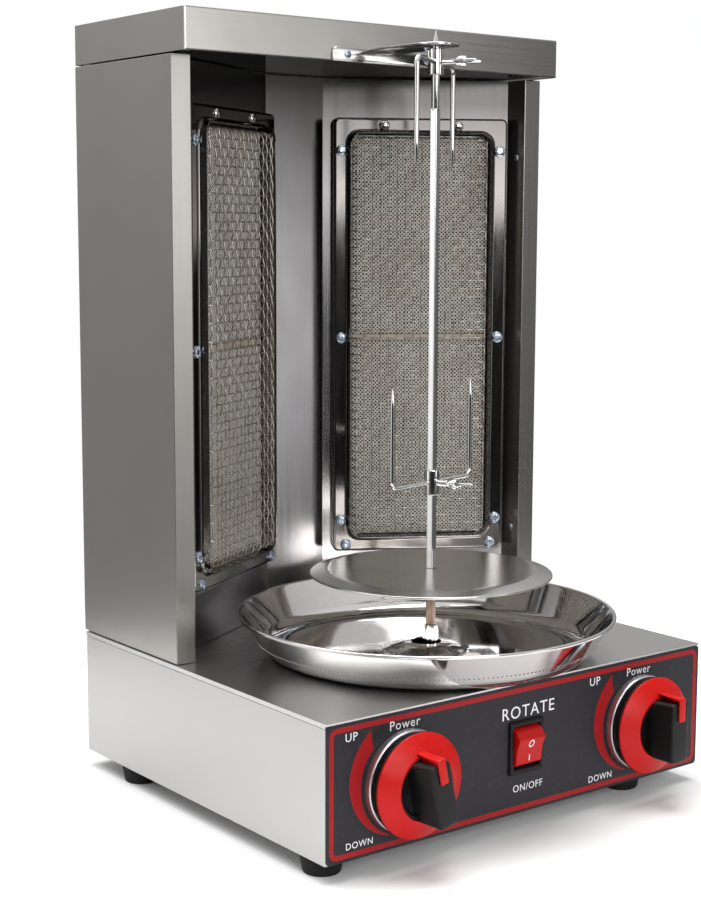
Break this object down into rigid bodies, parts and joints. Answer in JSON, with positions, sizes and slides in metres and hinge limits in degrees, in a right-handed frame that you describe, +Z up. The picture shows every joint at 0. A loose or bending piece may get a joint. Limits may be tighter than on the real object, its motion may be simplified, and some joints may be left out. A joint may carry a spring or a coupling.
{
  "type": "vertical rotisserie broiler",
  "caption": "Countertop vertical broiler: a motor-driven square spit with meat disc, wire forks and drip tray turns before two upright gas infrared burners set in a V.",
  "frame": {"origin": "middle of the bounding box at table level, under the feet", "axes": "+Z up, -Y towards the control panel and the cook, +X to the right seen from the front"},
  "size_m": [0.34, 0.366, 0.5466],
  "materials": {
    "stainless_brushed": "fine brushed stainless sheet",
    "stainless_polished": "mirror polished stainless",
    "stainless_heat_tinted": "stainless darkened and straw tinted by heat",
    "nickel_wire": "woven heat resistant wire, brown with heat",
    "burner_ceramic": "porous cream infrared burner plaque",
    "aluminised_steel": "dull aluminised sheet",
    "zinc_plate": "bright zinc plate",
    "brass": "machined brass",
    "painted_iron": "dark grey paint",
    "panel_overlay": "satin charcoal overlay with a red border line",
    "black_plastic": "moulded black phenolic",
    "red_plastic": "moulded red plastic",
    "foot_rubber": "moulded black rubber"
  },
  "bodies": {
    "base": {"base_shell": "stainless_brushed", "base_lid": "stainless_brushed", "base_bottom": "stainless_brushed", "tower_shell": "stainless_brushed", "hood": "stainless_brushed", "ceiling_plate": "stainless_polished", "spit_bracket": "stainless_polished", "knob_bezel_left": "stainless_polished", "knob_bezel_right": "stainless_polished", "heat_shield": "stainless_heat_tinted", "burner_frame_left": "stainless_heat_tinted", "burner_frame_right": "stainless_heat_tinted", "wire_mesh_left": "nickel_wire", "wire_mesh_right": "nickel_wire", "upper_plaque_left": "burner_ceramic", "upper_plaque_right": "burner_ceramic", "lower_plaque_left": "burner_ceramic", "lower_plaque_right": "burner_ceramic", "plenum_left": "aluminised_steel", "plenum_right": "aluminised_steel", "venturi_left": "aluminised_steel", "venturi_right": "aluminised_steel", "motor_bracket": "zinc_plate", "gas_jet_left": "brass", "gas_jet_right": "brass", "gas_valve_left": "brass", "gas_valve_right": "brass", "gas_tube_left": "brass", "gas_tube_right": "brass", "gas_inlet": "brass", "gas_manifold": "painted_iron", "motor": "painted_iron", "control_panel": "panel_overlay", "switch_housing": "black_plastic", "cord_gland": "black_plastic", "foot_front_left": "foot_rubber", "foot_front_right": "foot_rubber", "foot_back_left": "foot_rubber", "foot_back_right": "foot_rubber"},
    "stem_left": {"valve_stem_left": "zinc_plate"},
    "stem_right": {"valve_stem_right": "zinc_plate"},
    "knob_left": {"knob_grip_left": "black_plastic", "knob_ring_left": "red_plastic"},
    "knob_right": {"knob_grip_right": "black_plastic", "knob_ring_right": "red_plastic"},
    "rocker": {"switch_rocker": "red_plastic"},
    "drive": {"drive_socket": "stainless_polished", "spit": "stainless_polished"},
    "disc": {"meat_disc": "stainless_brushed"},
    "top_fork": {"top_fork": "stainless_polished"},
    "top_fork_screw": {"top_fork_screw": "stainless_polished"},
    "bottom_fork": {"bottom_fork": "stainless_polished"},
    "bottom_fork_screw": {"bottom_fork_screw": "stainless_polished"},
    "tray": {"drip_tray": "stainless_polished"}
  },
  "joints": [
    {"name": "knob_left_push", "type": "slide", "parent": "base", "child": "stem_left", "axis": [0, 1, 0], "range_m": [0, 0.0025], "stiffness_N_per_m": 600},
    {"name": "knob_left_turn", "type": "hinge", "parent": "stem_left", "child": "knob_left", "pos_m": [-0.1074, -0.14175, 0.056], "axis": [0, -1, 0], "range_deg": [-12, 168]},
    {"name": "knob_right_push", "type": "slide", "parent": "base", "child": "stem_right", "axis": [0, 1, 0], "range_m": [0, 0.0025], "stiffness_N_per_m": 600},
    {"name": "knob_right_turn", "type": "hinge", "parent": "stem_right", "child": "knob_right", "pos_m": [0.1074, -0.14175, 0.056], "axis": [0, -1, 0], "range_deg": [0, 180]},
    {"name": "rocker_tilt", "type": "hinge", "parent": "base", "child": "rocker", "pos_m": [-0.003, -0.13725, 0.0586], "axis": [1, 0, 0], "range_deg": [-24, 0]},
    {"name": "spit_turn", "type": "hinge", "parent": "base", "child": "drive", "pos_m": [0, -0.03875, 0.103], "axis": [0, 0, 1], "continuous": true},
    {"name": "disc_lift", "type": "slide", "parent": "drive", "child": "disc", "axis": [0, 0, 1], "range_m": [0, 0.045]},
    {"name": "top_fork_slide", "type": "slide", "parent": "drive", "child": "top_fork", "axis": [0, 0, 1], "range_m": [-0.21, 0]},
    {"name": "top_screw_turn", "type": "hinge", "parent": "top_fork", "child": "top_fork_screw", "pos_m": [0, -0.03875, 0.5165], "axis": [0.5592, -0.829, 0], "range_deg": [0, 810]},
    {"name": "bottom_fork_slide", "type": "slide", "parent": "drive", "child": "bottom_fork", "axis": [0, 0, 1], "range_m": [-0.045, 0.15]},
    {"name": "bottom_screw_turn", "type": "hinge", "parent": "bottom_fork", "child": "bottom_fork_screw", "pos_m": [0, -0.03875, 0.225], "axis": [0.23, -0.9732, 0], "range_deg": [0, 810]},
    {"name": "tray_lift", "type": "slide", "parent": "base", "child": "tray", "axis": [0, 0, 1], "range_m": [0, 0.025]}
  ]
}
